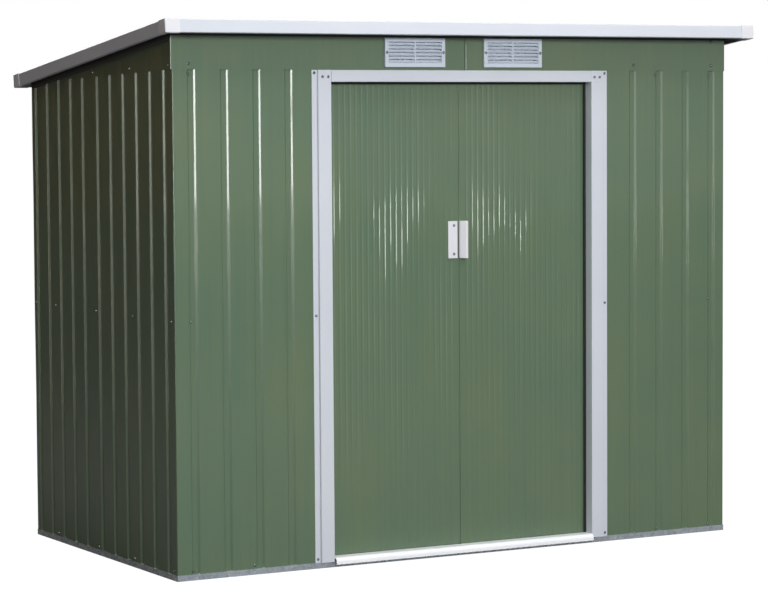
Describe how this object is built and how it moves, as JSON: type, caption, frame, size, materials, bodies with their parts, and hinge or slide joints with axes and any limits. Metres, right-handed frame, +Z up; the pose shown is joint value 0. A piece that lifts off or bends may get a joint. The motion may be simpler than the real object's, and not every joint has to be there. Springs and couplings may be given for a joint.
{
  "type": "metal storage shed",
  "caption": "Metal garden storage shed with ribbed green sheet walls, a pent roof with white edge trims, louvre vents and sliding doors in a white frame.",
  "frame": {"origin": "on the ground, under the centre of the roof outline", "axes": "+X along the front wall towards the right-hand corner seen from the front, +Y from the doors to the back wall, +Z up"},
  "size_m": [2.13, 1.22, 1.685],
  "materials": {
    "green_paint": "semi-gloss paint",
    "white_paint": "semi-gloss paint",
    "white_plastic": "satin moulded plastic",
    "vent_plastic": "satin moulded plastic",
    "galvanised": "galvanised"
  },
  "bodies": {
    "shed": {"base_rail_front": "galvanised", "base_rail_back": "galvanised", "base_rail_left": "galvanised", "base_rail_right": "galvanised", "door_sill": "white_paint", "front_panel_left": "green_paint", "front_panel_right": "green_paint", "header_board_left": "green_paint", "header_board_right": "green_paint", "side_sheet_left_front": "green_paint", "side_sheet_left_back": "green_paint", "side_sheet_right_front": "green_paint", "side_sheet_right_back": "green_paint", "back_sheet_left": "green_paint", "back_sheet_middle": "green_paint", "back_sheet_right": "green_paint", "gable_plate_left": "green_paint", "gable_plate_right": "green_paint", "door_track_top": "galvanised", "back_top_rail": "galvanised", "mid_rail_left": "galvanised", "mid_rail_right": "galvanised", "mid_rail_back": "galvanised", "roof_beam": "galvanised", "roof_sheet_left": "green_paint", "roof_sheet_middle": "green_paint", "roof_sheet_right": "green_paint", "roof_trim_front": "white_paint", "roof_trim_back": "white_paint", "roof_trim_left": "white_paint", "roof_trim_right": "white_paint", "corner_cap_front_left": "white_plastic", "corner_cap_front_right": "white_plastic", "corner_cap_back_left": "white_plastic", "corner_cap_back_right": "white_plastic", "door_jamb_left": "white_paint", "door_jamb_right": "white_paint", "door_frame_head": "white_paint", "vent_left": "vent_plastic", "vent_right": "vent_plastic"},
    "left_door": {"door_left": "green_paint", "handle_plate": "white_plastic"},
    "right_door": {"door_right": "green_paint", "handle_pull": "white_plastic"}
  },
  "joints": [
    {"name": "left_door_slide", "type": "slide", "parent": "shed", "child": "left_door", "axis": [-1, 0, 0], "range_m": [0, 0.425]},
    {"name": "right_door_slide", "type": "slide", "parent": "shed", "child": "right_door", "axis": [1, 0, 0], "range_m": [0, 0.425]}
  ]
}
